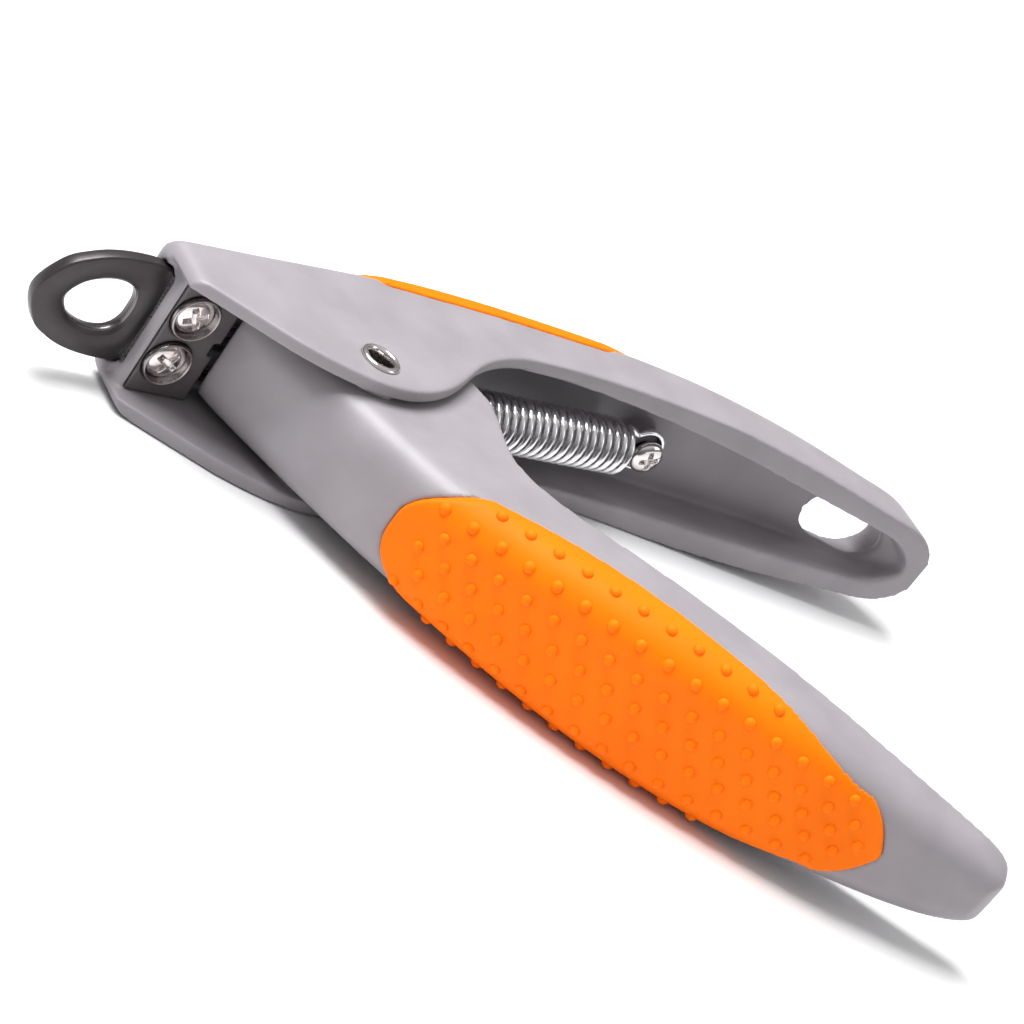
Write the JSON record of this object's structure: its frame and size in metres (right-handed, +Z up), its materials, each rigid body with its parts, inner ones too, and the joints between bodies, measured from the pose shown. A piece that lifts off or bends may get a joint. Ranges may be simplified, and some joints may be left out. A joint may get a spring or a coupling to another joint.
{
  "type": "guillotine nail trimmer",
  "caption": "Spring-loaded hand trimmer for pet nails: a fixed cutting ring, a sliding blade worked by a squeeze lever, and soft grips on curved hollow handles.",
  "frame": {"origin": "centre of the bounding box's footprint, on the surface the trimmer lies on", "axes": "+X from the cutting ring to the end of the fixed handle, along the blade's slide; +Y towards the back of the fixed handle; +Z up, along the lever's pivot"},
  "size_m": [0.147, 0.0946, 0.0225],
  "materials": {
    "gray_plastic": "satin",
    "dark_plastic": "satin",
    "orange_grip": "matte",
    "bright_steel": "polished",
    "dark_steel": "brushed",
    "blade_steel": "ground"
  },
  "bodies": {
    "frame": {"frame_handle": "gray_plastic", "frame_grip": "orange_grip", "cutting_ring": "dark_steel", "blade_keeper": "dark_plastic", "keeper_screw_upper": "bright_steel", "keeper_screw_lower": "bright_steel", "cup_washer_upper": "bright_steel", "cup_washer_lower": "bright_steel", "spring_screw": "bright_steel", "pivot_rivet": "bright_steel", "thrust_washer_lower": "bright_steel", "thrust_washer_upper": "bright_steel", "return_spring": "bright_steel"},
    "lever": {"lever_handle": "gray_plastic", "lever_grip": "orange_grip", "spring_pin": "bright_steel"},
    "blade": {"cutter_blade": "blade_steel"}
  },
  "joints": [
    {"name": "lever_pivot", "type": "hinge", "parent": "frame", "child": "lever", "pos_m": [-0.03404, 0.02635, 0.011], "axis": [0, 0, 1], "range_deg": [0, 40], "stiffness_Nm_per_rad": 0.064, "springref_deg": -57.3, "deforming": ["return_spring"]},
    {"name": "blade_slide", "type": "slide", "parent": "frame", "child": "blade", "axis": [-1, 0, 0], "range_m": [0, 0.0102]}
  ],
  "couplings": [
    {"joint": "blade_slide", "follows": "lever_pivot", "m_per_rad": 0.01434}
  ]
}
